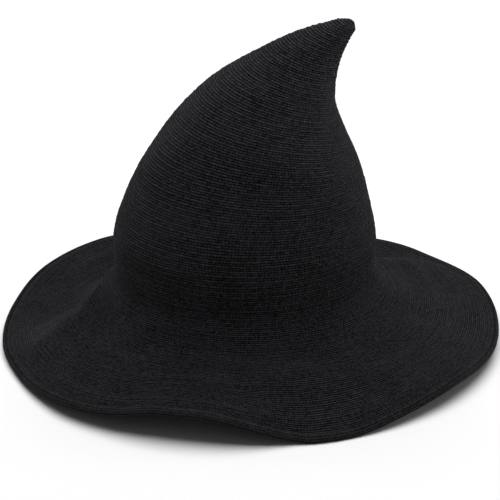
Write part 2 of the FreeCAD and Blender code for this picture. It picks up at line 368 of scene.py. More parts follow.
def stitch_row_tree():
    """Lays slim twisted stitches end to end along a line."""
    tree = Tree("stitch_row", {
        "Stitch Length": "NodeSocketFloat", "Gap": "NodeSocketFloat", "Thread Radius": "NodeSocketFloat",
        "Slant": "NodeSocketFloat", "Seed": "NodeSocketInt", "Material": "NodeSocketMaterial",
    })
    inputs = tree.inputs
    line = tree.add("GeometryNodeMeshToCurve", Mesh=inputs["Geometry"])
    pitch = tree.maths("ADD", inputs["Stitch Length"], inputs["Gap"])
    spaced = tree.add("GeometryNodeResampleCurve", {"mode": "LENGTH"}, Curve=line, Length=pitch)
    half = tree.maths("MULTIPLY", inputs["Stitch Length"], 0.5)
    bead = tree.add("GeometryNodeMeshUVSphere", Segments=8, Rings=6, Radius=1.0)
    size = tree.add("ShaderNodeCombineXYZ", X=inputs["Thread Radius"], Y=inputs["Thread Radius"], Z=half)
    stitch = tree.add("GeometryNodeTransform", Geometry=bead, Scale=size)
    smooth_stitch = tree.add("GeometryNodeSetShadeSmooth", Geometry=stitch)
    tangent = tree.add("GeometryNodeInputTangent")
    aligned = tree.add("FunctionNodeAlignRotationToVector", {"axis": "Z"}, Vector=tangent)
    low = tree.maths("MULTIPLY", inputs["Slant"], 0.7)
    turn = tree.add("FunctionNodeRandomValue", {"data_type": "FLOAT"}, out=1, i2=low, i3=inputs["Slant"],
                    Seed=inputs["Seed"])
    lean = tree.add("ShaderNodeCombineXYZ", X=turn)
    leaning = tree.add("FunctionNodeEulerToRotation", Euler=lean)
    rotation = tree.add("FunctionNodeRotateRotation", {"rotation_space": "LOCAL"}, Rotation=aligned,
                        Rotate_By=leaning)
    stitches = tree.add("GeometryNodeInstanceOnPoints", Points=spaced, Instance=smooth_stitch,
                        Rotation=rotation)
    return tree.finish(stitches, inputs["Material"])


# ---------------------------------------------------------------- shader expressions

class Value:
    """A socket that Python's own operators build Math nodes on."""

    def __init__(self, shade, socket):
        self.shade = shade
        self.socket = socket

    def __add__(self, other):
        return self.shade.maths("ADD", self, other)

    def __sub__(self, other):
        return self.shade.maths("SUBTRACT", self, other)

    def __mul__(self, other):
        return self.shade.maths("MULTIPLY", self, other)

    def __rsub__(self, other):
        return self.shade.maths("SUBTRACT", other, self)

    __radd__ = __add__


class Shade:
    """A material under construction."""

    def __init__(self, name):
        self.material = bpy.data.materials.new(name)
        self.material.use_nodes = True
        self.tree = self.material.node_tree
        self.surface = self.tree.nodes["Principled BSDF"]

    def node(self, kind, settings=None, out=0, **sockets):
        """Adds a node; socket names use _ for a space, and values may be links."""
        made = self.tree.nodes.new(kind)
        for key, value in (settings or {}).items():
            setattr(made, key, value)
        for key, value in sockets.items():
            name = key.replace("_", " ")
            socket = made.inputs[int(key[1:])] if key[1:].isdigit() else made.inputs[name]
            self.feed(socket, value)
        return Value(self, made.outputs[out])

    def feed(self, socket, value):
        if isinstance(value, Value):
            self.tree.links.new(value.socket, socket)
        else:
            socket.default_value = value

    def maths(self, operation, *values):
        sockets = {f"i{i}": value for i, value in enumerate(values)}
        return self.node("ShaderNodeMath", {"operation": operation}, **sockets)

    def mix(self, share, first, second):
        """Colour between two colours."""
        return self.node("ShaderNodeMix", {"data_type": "RGBA"}, out=2, i0=share, i6=first, i7=second)

    def clamp(self, value):
        return self.node("ShaderNodeClamp", Value=value, Min=0.0, Max=1.0)

    def place(self):
        return self.node("ShaderNodeTexCoord", out=3)

    def uv(self, name):
        return self.node("ShaderNodeUVMap", {"uv_map": name})

    def parts(self, vector):
        made = self.tree.nodes.new("ShaderNodeSeparateXYZ")
        self.feed(made.inputs[0], vector)
        return [Value(self, output) for output in made.outputs]

    def noise(self, vector, scale, detail=2.0, roughness=0.5):
        return self.node("ShaderNodeTexNoise", Vector=vector, Scale=scale, Detail=detail,
                         Roughness=roughness)

    def bump(self, height, distance):
        return self.node("ShaderNodeBump", Height=height, Distance=distance, Strength=1.0)

    def set(self, **sockets):
        for key, value in sockets.items():
            self.feed(self.surface.inputs[key.replace("_", " ")], value)
        return self.material


BLUE_SHARE = 1.13           # how much more blue than red a black dye leaves


def cool(level):
    """Near-neutral dark colour with a little more blue."""
    return (level, level, level * BLUE_SHARE, 1.0)


def dimmed(colour, share):
    return tuple(c * share for c in colour[:3]) + (1.0,)


def knitted_wool(name, groove, top, stitch_bump):
    """Matte wool, knitted in ridged rows: one unit of the map is a stitch by a row. Its colour runs from
    groove to top with the stitch's height: painted shade in the grooves and a painted highlight on the
    ridge tops.
    """
    shade = Shade(name)
    place = shade.place()
    sway = shade.noise(place, 420.0, 2.0)
    u, v, _ = shade.parts(shade.uv("knit"))
    u = u + (sway - 0.5) * 0.9
    v = v + (shade.noise(place, 260.0, 1.0) - 0.5) * 0.3
    across = shade.maths("FRACT", u)
    up = shade.maths("FRACT", v)
    cell = shade.node("ShaderNodeCombineXYZ", X=shade.maths("FLOOR", u), Y=shade.maths("FLOOR", v))
    tightness = shade.node("ShaderNodeTexWhiteNoise", {"noise_dimensions": "2D"}, Vector=cell)
    arch = shade.maths("SINE", up * pi)
    loop = shade.maths("ABSOLUTE", shade.maths("SINE", across * pi))
    fibres = shade.noise(place, 1500.0, 3.0, 0.65)
    clumps = shade.noise(place, 520.0, 2.0, 0.6)
    patches = shade.noise(place, 30.0, 3.0, 0.55)
    strands = shade.maths("SINE", (across + up * 0.5) * (6 * pi)) * 0.1
    pair = shade.maths("MODULO", shade.maths("FLOOR", v), 2.0)
    stitch = arch * (loop * 0.6 + 0.4) * (tightness * 0.7 + 0.65) * (1.12 - pair * 0.24)
    height = stitch + strands + fibres * 0.35
    # Colour share: the stitch's height paints shade into the grooves and a highlight onto the ridge tops;
    # clumps, fibres and patches add random tone.
    painted_shade_and_tone = shade.clamp(stitch * 0.9 + (clumps - 0.5) * 1.35 + (fibres - 0.5) * 0.8 + (patches - 0.5) * 0.5)
    return shade.set(
        Base_Color=shade.mix(painted_shade_and_tone, groove, top),
        Roughness=0.84 + fibres * 0.14,
        Sheen_Weight=0.04,
        Sheen_Roughness=0.4,
        Sheen_Tint=(0.9, 0.9, 1.0, 1.0),
        Specular_IOR_Level=0.06,
        Normal=shade.bump(height, stitch_bump),
    )


def sewing_thread(name, colour):
    shade = Shade(name)
    twist = shade.noise(shade.place(), 2400.0, 2.0)
    return shade.set(
        Base_Color=shade.mix(twist, dimmed(colour, 0.6), colour),
        Roughness=0.6 + twist * 0.25,
        Specular_IOR_Level=0.2,
        Sheen_Weight=0.05,
        Normal=shade.bump(twist, 0.00015),
    )


def ribbed_ribbon(name, groove, top):
    """Grosgrain: one unit of its map is a rib across and a millimetre along the rib."""
    shade = Shade(name)
    u, v, _ = shade.parts(shade.uv("weave"))
    rib = shade.maths("ABSOLUTE", shade.maths("SINE", u * pi))
    threads_to_a_millimetre = 1.6
    threads = shade.maths("SINE", v * (2 * pi * threads_to_a_millimetre)) * 0.12
    lint = shade.noise(shade.place(), 900.0, 2.0)
    height = rib + threads + (lint - 0.5) * 0.5
    # Colour follows the rib's height: painted shade in the grooves between ribs and a painted highlight on
    # the ribs, with random tone from the lint.
    return shade.set(
        Base_Color=shade.mix(shade.clamp(height), groove, top),
        Roughness=0.6 + lint * 0.3,
        Specular_IOR_Level=0.15,
        Sheen_Weight=0.04,
        Normal=shade.bump(height, 0.00025),
    )


def woven_tape(name, low, high, threads):
    """Plain woven tape, with its map in millimetres and so many threads to each."""
    shade = Shade(name)
    u, v, _ = shade.parts(shade.uv("weave"))
    warp = shade.maths("SINE", u * (2 * pi * threads))
    weft = shade.maths("SINE", v * (2 * pi * threads))
    lint = shade.noise(shade.place(), 900.0, 2.0)
    height = warp * weft * 0.5 + 0.5 + (lint - 0.5) * 0.6
    # Colour follows the weave's height: painted shade where a thread dips under the other and a painted
    # highlight where it crosses over, with random tone from the lint.
    return shade.set(
        Base_Color=shade.mix(shade.clamp(height), low, high),
        Roughness=0.55 + lint * 0.3,
        Specular_IOR_Level=0.2,
        Sheen_Weight=0.05,
        Normal=shade.bump(height, 0.0002),
    )


def napped_tape(name, colour, roughness):
    shade = Shade(name)
    lint = shade.noise(shade.place(), 1100.0, 3.0)
    return shade.set(
        Base_Color=shade.mix(lint, dimmed(colour, 0.2), colour),
        Roughness=roughness + (lint - 0.5) * 0.2,
        Specular_IOR_Level=0.2,
        Normal=shade.bump(lint, 0.0006),
    )


def drawn_metal(name, colour, roughness):
    shade = Shade(name)
    streaks = shade.noise(shade.place(), 700.0, 3.0)
    return shade.set(
        Base_Color=shade.mix(streaks, dimmed(colour, 0.8), colour),
        Metallic=1.0,
        Roughness=roughness + (streaks - 0.5) * 0.15,
        Normal=shade.bump(streaks, 0.00003),
    )


# Groove colour: painted shade between rows and loops; top colour: painted highlight on the ridges of the
# same black yarn.
BLACK_WOOL = knitted_wool("black_wool_knit", cool(0.0004), cool(0.035), 0.0007)
# The hem's copy of the same wool: its painted groove shade is lighter and its painted ridge highlight
# darker, which paints the rounded hem darker than the brim.
HEM_WOOL_SHADED = knitted_wool("black_wool_edge", cool(0.002), cool(0.022), 0.0003)
BLACK_THREAD = sewing_thread("black_thread", cool(0.007))
# Its darker colour is painted shade in the grooves between ribs, its lighter one a painted highlight on
# the ribs.
BLACK_RIBBON = ribbed_ribbon("black_ribbon", cool(0.001), cool(0.022))
# Darker colour: painted shade where threads dip; lighter colour: painted highlight where they cross over.
BLACK_TAPE = woven_tape("black_tape", cool(0.002), cool(0.02), 1.0)
LOOP_TAPE = napped_tape("black_loop_tape", cool(0.022), 0.85)
HOOK_TAPE = napped_tape("black_hook_tape", cool(0.03), 0.6)
# As on the tape, the two colours are painted shade in the weave's dips and a painted highlight on its
# crossings.
LABEL_SATIN = woven_tape("label_satin", (0.14, 0.14, 0.13, 1), (0.27, 0.26, 0.25, 1), 1.6)
SPRING_STEEL = drawn_metal("spring_steel", (0.42, 0.42, 0.44, 1), 0.35)
NICKEL = drawn_metal("nickel_sleeve", (0.66, 0.62, 0.55, 1), 0.25)


# ---------------------------------------------------------------- the knit

KNIT_ROWS = knit_rows_tree()
STITCH_ROW = stitch_row_tree()


def stitch_counts(grid, rows, steps):
    """Whole stitches in each row, from the length of its middle."""
    middle = grid[steps // 2::steps][:rows]
    lengths = np.linalg.norm(middle - np.roll(middle, -1, axis=1), axis=2).sum(axis=1)
    return np.maximum(np.round(lengths / STITCH_WIDTH), 3)


def row_wander(angles, stations):
    """How far a row strays from its even place, in rows: none at either end of a piece."""
    wander = sum(soft_waves(angles, stations, *stray) for stray in STRAYS)
    edge = np.minimum(np.abs(stations - CROWN_FOOT), np.minimum(stations, TIP_END - stations))
    return wander * np.clip(edge / STRAYS_FADE, 0, 1)[:, None]


def strip_map(levels, courses, columns, counts, phases):
    """Corner map of a face grid: stitches round the hat by rows up it."""
    strips = len(levels) - 1
    uv = np.zeros((strips, columns, 4, 2))
    share = np.arange(columns + 1) / columns
    wrapped = np.concatenate([levels, levels[:, :1]], axis=1)
    for r in range(strips):
        along = share * counts[courses[r]] + phases[courses[r]]
        uv[r, :, 0] = np.stack([along[:-1], wrapped[r, :-1]], 1)
        uv[r, :, 1] = np.stack([along[1:], wrapped[r, 1:]], 1)
        uv[r, :, 2] = np.stack([along[1:], wrapped[r + 1, 1:]], 1)
        uv[r, :, 3] = np.stack([along[:-1], wrapped[r + 1, :-1]], 1)
    return uv.reshape(-1, 2)


def wall_grid(angles, stations, depth):
    """Points on the knit's wall, a depth under its outer face, with the knit's soft dents."""
    grid = outer_wall(angles, stations)
    fade = np.clip(np.minimum(stations, TIP_END - stations) / DENTS_FADE, 0, 1)
    fade = fade[:, None] if fade.ndim == 1 else fade
    dents = soft_waves(angles, stations, *DENTS) * fade + brim_crests(angles, stations)
    return grid + outward_normals(grid) * (dents - depth)[:, :, None]


def sharpen_rings(piece, columns, rings):
    """Marks whole rings of edges as sharp, so that a cut edge doesn't round the face beside it."""
    edges = np.empty(len(piece.data.edges) * 2, np.int64)
    piece.data.edges.foreach_get("vertices", edges)
    ring = edges.reshape(-1, 2) // columns
    sharp = (ring[:, 0] == ring[:, 1]) & np.isin(ring[:, 0], rings)
    piece.data.edges.foreach_set("use_edge_sharp", sharp)


def brim_crests(angles, stations):
    """Heights of the brim's crests and hollows over its smooth wave."""
    along = np.asarray(stations, float)
    along = along if along.ndim == 1 else along[:, 0]
    rise = np.clip((along - CREST_RISE[0]) / CREST_RISE[1], 0, 1)
    fall = np.clip((CROWN_FOOT - CREST_FALL[0] - along) / CREST_FALL[1], 0, 1)
    share = rise ** 2 * (3 - 2 * rise) * fall ** 2 * (3 - 2 * fall)
    total = np.zeros((len(along), len(angles)))
    for path, height, half_width in BRIM_CRESTS:
        middle = np.interp(along, CREST_STATIONS, path)[:, None]
        away = (angles[None, :] - middle + 180) % 360 - 180
        total += height / (1 + (away / half_width) ** 2)
    return total * share[:, None]


def close_tip(outer, inner):
    """Points, faces and number of map corners that close the tops of two grids, one in the other."""
    columns = outer.shape[1]
    last_step = outer[-1].mean(axis=0) - outer[-2].mean(axis=0)
    peak = outer[-1].mean(axis=0) + last_step * PEAK_STEPS
    below = len(outer) * columns
    apex = below + len(inner) * columns
    faces = []
    for c in range(columns):
        nxt = (c + 1) % columns
        faces.append((below - columns + c, below - columns + nxt, apex))
        faces.append((below + nxt, below + c, apex + 1))
    return np.stack([peak, inner[0].mean(axis=0)]), faces, columns * 6


def knit_piece(name, start, end, rows, columns, inner_rows, closed_top, seed):
    """Closed shell of knit between two stations: ridged outside, inside and cut edges."""
    angles = np.arange(columns) * 360 / columns
    outer_at = np.linspace(start, end, rows * OUTER_STEPS + 1)
    lean = eased_stations(angles, outer_at) if closed_top else outer_at
    outer = wall_grid(angles, lean, ROW_DEPTH / 2)
    hollow_end = end - (CLOSED_TIP if closed_top else 0.0)
    inner_at = np.linspace(start, hollow_end, inner_rows + 1)
    inner = wall_grid(angles, inner_at, KNIT_THICKNESS)[::-1]
    outside, inside = len(outer), len(inner)

    first_row = start / (end - start) * rows
    outer_rows = (outer_at / (end - start) * rows)[:, None] - first_row + row_wander(angles, outer_at)
    inner_level = (inner_at / (end - start) * rows)[::-1, None] - first_row
    inner_rows_up = np.repeat(inner_level, columns, axis=1)
    phases = RNG.uniform(0, 1, rows)
    heights = RNG.uniform(*ROW_HEIGHTS, rows)
    heights *= np.where(np.arange(rows) % 2, PAIR_HEIGHTS[1], PAIR_HEIGHTS[0])
    counts = stitch_counts(outer, rows, OUTER_STEPS)
    outer_course = np.minimum(np.arange(outside) // OUTER_STEPS, rows - 1)
    inner_course = np.clip(inner_level[:, 0].astype(int), 0, rows - 1)

    faces = ring_faces(outside, columns)
    base = outside * columns
    faces += [tuple(base + i for i in face) for face in ring_faces(inside, columns)]
    faces += ring_join(outside + inside - 1, 0, columns)
    uv = [strip_map(outer_rows, outer_course, columns, counts, phases),
          strip_map(inner_rows_up, inner_course, columns, counts, phases),
          np.zeros((columns * 4, 2))]
    points = [outer.reshape(-1, 3), inner.reshape(-1, 3)]
    inner_relief = INNER_RELIEF if inner_rows >= rows * 2 else 0.0
    relief = [np.repeat(heights[outer_course], columns), np.full(inside * columns, inner_relief)]
    row_levels = [outer_rows.ravel(), inner_rows_up.ravel()]
    cut_rings = [0, outside + inside - 1]
    if closed_top:
        tops, top_faces, corners = close_tip(outer, inner)
        points.append(tops)
        faces += top_faces
        relief.append(np.zeros(2))
        row_levels.append(np.zeros(2))
        uv.append(np.zeros((corners, 2)))
    else:
        faces += ring_join(outside - 1, outside, columns)
        uv.append(np.zeros((columns * 4, 2)))
        cut_rings += [outside - 1, outside]
    piece = new_object(name, np.concatenate(points) * MM, faces)
    point_attribute(piece, "row", np.concatenate(row_levels))
    point_attribute(piece, "relief", np.concatenate(relief))
    corner_map(piece, "knit", np.concatenate(uv))
    shade_smooth(piece)
    sharpen_rings(piece, columns, cut_rings)
    return apply_nodes(piece, KNIT_ROWS, {
        "Row Depth": ROW_DEPTH * MM, "Unevenness": 1.4, "Seed": float(seed), "Material": BLACK_WOOL,
    })


brim_rows = round(CROWN_FOOT / BRIM_ROW_PITCH)
crown_rows = round((TIP_END - CROWN_FOOT) / CROWN_ROW_PITCH)
brim = knit_piece("knitted_brim", 0.0, CROWN_FOOT, brim_rows, BRIM_COLUMNS, inner_rows=brim_rows * 2,
                  closed_top=False, seed=3)
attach(brim, "hat")
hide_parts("brim")

crown = knit_piece("knitted_crown", CROWN_FOOT, TIP_END, crown_rows, CROWN_COLUMNS,
                   inner_rows=CROWN_INNER_ROWS, closed_top=True, seed=5)
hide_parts("crown_lower", "crown_bend", "crown_tip")

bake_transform(crown)


# ---------------------------------------------------------------- hem

HEM_TILT_SHARE = 0.45       # how far the hem follows the slope of the brim beside it
HEM_SLOPE_RUN = 9.0         # length of the brim that this slope is taken over
HEM_ROWS = 8                # knitted rows that turn round the hem
HEM_CORNER = 0.75           # under 1 makes the hem's section boxier
HEM_LAP = 0.7               # how far the turned edge laps over the end of the brim's knit
HEM_COLUMNS = 400           # points round the hem
HEM_SECTION = 32            # points round its section
HEM_DENTS = (9, 60.0, 0.35)  # seed, longest wave, size
HEM_RELIEF = 0.16           # share of the rows' depth, because the edge is felted smoother
FLOOR_CLEARANCE = 0.4


def hem_frame(angles):
    """Middle of the hem, and the directions out along it and up from it."""
    turn = np.radians(angles)
    out_flat = np.stack([np.cos(turn), np.sin(turn), np.zeros(len(turn))], 1)
    wall = outer_wall(angles, [0.0, HEM_SLOPE_RUN])
    drop = wall[0] - wall[1]
    slope = np.arctan2(drop[:, 2], np.linalg.norm(drop[:, :2], axis=1)) * HEM_TILT_SHARE
    out = out_flat * np.cos(slope)[:, None] + np.array([0, 0, 1]) * np.sin(slope)[:, None]
    up = np.array([0, 0, 1]) * np.cos(slope)[:, None] - out_flat * np.sin(slope)[:, None]
    radius = (edge_radius(angles) - HEM_WIDTH / 2)[:, None]
    middle = out_flat * radius + np.array([0, 0, 1]) * edge_height(angles)[:, None]
    return middle, out, up


def hem_band():
    """Turned edge of the brim, with the knit's rows running along it."""
    columns = HEM_COLUMNS
    section = HEM_SECTION
    angles = np.arange(columns) * 360 / columns
    middle, out, up = hem_frame(angles)
    turn = np.arange(section) * 2 * pi / section
    reach = np.where(np.cos(turn) > 0, HEM_WIDTH / 2, HEM_WIDTH / 2 + HEM_GAP + HEM_LAP)
    across = np.sign(np.cos(turn)) * np.abs(np.cos(turn)) ** HEM_CORNER * reach
    above = np.sign(np.sin(turn)) * np.abs(np.sin(turn)) ** HEM_CORNER * HEM_HEIGHT / 2
    grid = middle[None] + out[None] * across[:, None, None] + up[None] * above[:, None, None]
    dents = soft_waves(angles, np.zeros(1), *HEM_DENTS)[0]
    grid[:, :, 2] = np.maximum(grid[:, :, 2] + dents[None], FLOOR_CLEARANCE)
    faces = ring_faces(section, columns, closed_rows=True)
    piece = new_object("hem_band", grid.reshape(-1, 3) * MM, faces)
    levels = np.repeat(np.arange(section + 1)[:, None] * HEM_ROWS / section, columns, axis=1)
    point_attribute(piece, "row", levels[:-1])
    point_attribute(piece, "relief", np.full(section * columns, HEM_RELIEF))
    length = np.linalg.norm(middle - np.roll(middle, -1, axis=0), axis=1).sum()
    counts = np.full(HEM_ROWS, round(length / STITCH_WIDTH))
    courses = np.arange(section) * HEM_ROWS // section
    phases = RNG.uniform(0, 1, HEM_ROWS)
    corner_map(piece, "knit", strip_map(levels, courses, columns, counts, phases))
    shade_smooth(piece)
    return apply_nodes(piece, KNIT_ROWS, {
        "Row Depth": ROW_DEPTH * MM, "Unevenness": 1.6, "Seed": 8.0, "Material": HEM_WOOL_SHADED,
    })


hem = hem_band()
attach(hem, "hat")
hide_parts("brim_hem")


def stitches_along(name, line, length, gap, radius, slant, seed):
    """Stitches of black thread along a closed line of points, in millimetres and degrees."""
    edges = [(i, (i + 1) % len(line)) for i in range(len(line))]
    piece = new_object(name, np.asarray(line) * MM, [], edges)
    return apply_nodes(piece, STITCH_ROW, {
        "Stitch Length": length * MM, "Gap": gap * MM, "Thread Radius": radius * MM,
        "Slant": radians(slant), "Seed": seed, "Material": BLACK_THREAD,
    })


line_angles = np.arange(0, 360, 1.0)
hem_middle, hem_out, hem_up = hem_frame(line_angles)
groove = hem_middle - hem_out * (HEM_WIDTH + HEM_GAP) / 2 + hem_up * (KNIT_THICKNESS / 2 - 0.1)
hem_stitches = stitches_along("hem_stitches", groove, length=3.4, gap=1.0, radius=0.42, slant=9, seed=4)
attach(hem_stitches, "hat")
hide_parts("hem_stitching")

TIP_THREAD_STATION = TIP_END - 8.0
TIP_THREAD_STANDS_OUT = 0.3
gather_angles = np.arange(0, 360, 10.0)
gather_stations = np.array([TIP_THREAD_STATION - 1, TIP_THREAD_STATION])
gather = wall_grid(gather_angles, gather_stations, -TIP_THREAD_STANDS_OUT)[1]
tip_gather = stitches_along("tip_gather_thread", gather, length=2.0, gap=0.5, radius=0.4, slant=12, seed=7)
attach(tip_gather, "tip")
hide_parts("tip_thread")

for node, metal in (("brim_wire", SPRING_STEEL), ("wire_joiner", NICKEL)):
    for slot in bpy.data.objects[node].material_slots:
        slot.material = metal


# ---------------------------------------------------------------- inside band

BAND_ACROSS = 97.0
BAND_DEEP = 88.0
BAND_THICKNESS = 1.2
BAND_FOOT = 54.0
BAND_HEIGHT = 30.0
RIB_PITCH = 1.4
RIB_COLUMNS = 4             # points across each rib
RIB_DEPTH = 0.25


def band_oval(angles, inward, height):
    """Points on the oval of the band's inside, moved inward, in millimetres."""
    turn = np.radians(angles)
    x = CROWN_SHIFT + (BAND_ACROSS - inward) * np.cos(turn)
    return np.stack([x, (BAND_DEEP - inward) * np.sin(turn), np.full(len(turn), float(height))], 1)


def ribbon_band():
    """Grosgrain ribbon that lines the crown's foot, ribbed from edge to edge."""
    length = pi * (BAND_ACROSS + BAND_DEEP)
    ribs = round(length / RIB_PITCH)
    columns = ribs * RIB_COLUMNS
    angles = np.arange(columns) * 360 / columns
    levels = [0, 0.5, 4, 10, 16, 22, 26, BAND_HEIGHT - 0.5, BAND_HEIGHT]
    rounding = [0.5, 0.12, 0, 0, 0, 0, 0, 0.12, 0.5]
    inside = [band_oval(angles, -s, BAND_FOOT + z) for z, s in zip(levels, rounding)]
    outside = [band_oval(angles, s - BAND_THICKNESS, BAND_FOOT + z) for z, s in zip(levels, rounding)]
    grid = np.array(outside + inside[::-1])
    piece = new_object("sweatband_ribbon", grid.reshape(-1, 3) * MM,
                       ring_faces(len(grid), columns, closed_rows=True))
    point_attribute(piece, "row", np.tile(np.arange(columns) / RIB_COLUMNS, len(grid)))
    point_attribute(piece, "relief", np.ones(len(grid) * columns))
    heights = np.array(levels + levels[::-1] + levels[:1], float)
    weave = np.repeat(heights[:, None], columns, axis=1)
    courses = np.zeros(len(grid), int)
    corner_map(piece, "weave", strip_map(weave, courses, columns, [ribs], [0.0]))
    shade_smooth(piece)
    return apply_nodes(piece, KNIT_ROWS, {
        "Row Depth": RIB_DEPTH * MM, "Unevenness": 0.3, "Seed": 2.0, "Material": BLACK_RIBBON,
    })


sweatband = ribbon_band()
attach(sweatband, "hat")
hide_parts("sweatband")

BAND_SEAM_INSET = 3.0       # from the ribbon's lower edge to its stitches
band_thread = band_oval(line_angles, 0.15, BAND_FOOT + BAND_SEAM_INSET)
band_stitches = stitches_along("sweatband_stitches", band_thread, length=4.2, gap=1.3, radius=0.35,
                               slant=5, seed=9)
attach(band_stitches, "hat")
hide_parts("sweatband_stitching")


# ---------------------------------------------------------------- tapes and label on the band

BACK_RADIUS = BAND_ACROSS ** 2 / BAND_DEEP
BACK_CENTRE = (CROWN_SHIFT, BAND_DEEP - BACK_RADIUS)
SIDE_RADIUS = BAND_DEEP ** 2 / BAND_ACROSS
SIDE_CENTRE = (CROWN_SHIFT - BAND_ACROSS + SIDE_RADIUS, 0.0)
TAPE_GAP = 0.3              # between the ribbon and the tapes sewn to it
PAD_THICKNESS = 1.0
PAD_TO_TAB = 0.4
TAB_FOOT = 60.0
TAB_HEIGHT = 20.0
PAD_OUTER = BACK_RADIUS - TAPE_GAP
TAB_OUTER = PAD_OUTER - PAD_THICKNESS - PAD_TO_TAB

# Where each tape lies on the band: its first and last angle.
PAD_SPAN = (82, 108)
TAB_SPAN = (68, 96)
SEAM_TAPE_SPAN = (113, 120)
LABEL_SPAN = (170, 190)
SEAM_TAPE_HEIGHT = BAND_HEIGHT - 5


def bend_round(centre, radius, angles, heights):
    """Grid of points on an upright cylinder: one row for each height."""
    turn = np.radians(angles)
    x = centre[0] + radius * np.cos(turn)
    y = centre[1] + radius * np.sin(turn)
    return np.stack([np.broadcast_to(x, heights.shape), np.broadcast_to(y, heights.shape), heights], 2)


def span_width(span, radius):
    return radians(span[1] - span[0]) * radius


def rounded_sheet(centre, radius, span, foot, height, corner):
    """Bent rectangle with rounded corners, as a grid of points."""
    start, end = span
    width = span_width(span, radius)
    ease = (1 - np.cos(np.linspace(0, pi, 33))) / 2
    along = ease * width
    inset = np.clip(corner - np.minimum(along, width - along), 0, corner)
    half = height / 2 - (corner - np.sqrt(np.maximum(corner ** 2 - inset ** 2, 0)))
    levels = np.linspace(-1, 1, 13)[:, None] * half[None] + foot + height / 2
    angles = start + along / width * (end - start)
    return bend_round(centre, radius, angles, levels)


def slab(name, grid, thickness, material):
    """Closed thin sheet either side of a grid of points, with its own weave map."""
    rows, columns = grid.shape[:2]
    across = np.gradient(grid, axis=1)
    along = np.gradient(grid, axis=0)
    normal = np.cross(across, along)
    normal /= np.maximum(np.linalg.norm(normal, axis=2, keepdims=True), 1e-9)
    points = np.concatenate([(grid + normal * thickness / 2).reshape(-1, 3),
                             (grid - normal * thickness / 2).reshape(-1, 3)])
    low = rows * columns
    faces = []
    for r in range(rows - 1):
        for c in range(columns - 1):
            i = r * columns + c
            faces.append((i, i + 1, i + 1 + columns, i + columns))
            faces.append((low + i, low + i + columns, low + i + 1 + columns, low + i + 1))
    border = list(range(columns))
    border += [r * columns + columns - 1 for r in range(1, rows)]
    border += [(rows - 1) * columns + c for c in range(columns - 2, -1, -1)]
    border += [r * columns for r in range(rows - 2, 0, -1)]
    for here, nxt in zip(border, border[1:] + border[:1]):
        faces.append((low + here, low + nxt, nxt, here))
    piece = new_object(name, points * MM, faces)
    columns_at = distances_along(grid[rows // 2])
    rows_at = distances_along(grid[:, columns // 2])
    flat = np.stack(np.meshgrid(columns_at, rows_at), 2).reshape(-1, 2)
    corners = np.concatenate([np.array(face) for face in faces]) % low
    corner_map(piece, "weave", flat[corners])
    piece.data.materials.append(material)
    return shade_smooth(piece)


def nap_tree():
    """Scatters small bent loops or hooks over a patch, standing on its face."""
    tree = Tree("nap", {
        "Spacing": "NodeSocketFloat", "Loop Radius": "NodeSocketFloat", "Loop Sweep": "NodeSocketFloat",
        "Thread Radius": "NodeSocketFloat", "Seed": "NodeSocketInt", "Material": "NodeSocketMaterial",
    })
    inputs = tree.inputs
    spread = tree.node("GeometryNodeDistributePointsOnFaces", {"distribute_method": "POISSON"},
                       Mesh=inputs["Geometry"], Distance_Min=inputs["Spacing"], Density_Max=3.0e6,
                       Seed=inputs["Seed"])
    arc = tree.add("GeometryNodeCurveArc", Resolution=7, Radius=inputs["Loop Radius"],
                   Sweep_Angle=inputs["Loop Sweep"])
    section = tree.add("GeometryNodeCurvePrimitiveCircle", Resolution=3, Radius=inputs["Thread Radius"])
    loop = tree.add("GeometryNodeCurveToMesh", Curve=arc, Profile_Curve=section, Fill_Caps=True)
    upright = tree.add("GeometryNodeTransform", Geometry=loop, Rotation=(pi / 2, 0, 0))
    turn = tree.add("FunctionNodeRandomValue", {"data_type": "FLOAT"}, out=1, i2=0.0, i3=2 * pi,
                    Seed=inputs["Seed"])
    spin = tree.add("FunctionNodeEulerToRotation", Euler=tree.add("ShaderNodeCombineXYZ", Z=turn))
    rotation = tree.add("FunctionNodeRotateRotation", {"rotation_space": "LOCAL"},
                        Rotation=spread["Rotation"], Rotate_By=spin)
    loops = tree.add("GeometryNodeInstanceOnPoints", Points=spread["Points"], Instance=upright,
                     Rotation=rotation)
    return tree.finish(loops, inputs["Material"])


def nap_on(name, grid, spacing, radius, sweep, thread, seed, material):
    """Loops or hooks over one face of a bent sheet, clear of its border."""
    inner = grid[1:-1, 2:-2]
    rows, columns = inner.shape[:2]
    faces = []
    for r in range(rows - 1):
        for c in range(columns - 1):
            i = r * columns + c
            faces.append((i, i + columns, i + 1 + columns, i + 1))
    piece = new_object(name, inner.reshape(-1, 3) * MM, faces)
    return apply_nodes(piece, NAP, {
        "Spacing": spacing * MM, "Loop Radius": radius * MM, "Loop Sweep": radians(sweep),
        "Thread Radius": thread * MM, "Seed": seed, "Material": material,
    })


def border_line(radius, span, end_inset, side_inset):
    """Rounded line of stitching a little inside a tape's edge: insets in degrees and millimetres."""
    inner_span = (span[0] + end_inset, span[1] - end_inset)
    height = TAB_HEIGHT - 2 * side_inset
    grid = rounded_sheet(BACK_CENTRE, radius, inner_span, TAB_FOOT + side_inset, height, 1.5)
    return np.concatenate([grid[0], grid[1:, -1], grid[-1, ::-1][1:], grid[::-1][1:-1, 0]])


def tape_face(radius, span, corner):
    return rounded_sheet(BACK_CENTRE, radius, span, TAB_FOOT, TAB_HEIGHT, corner)


NAP = nap_tree()

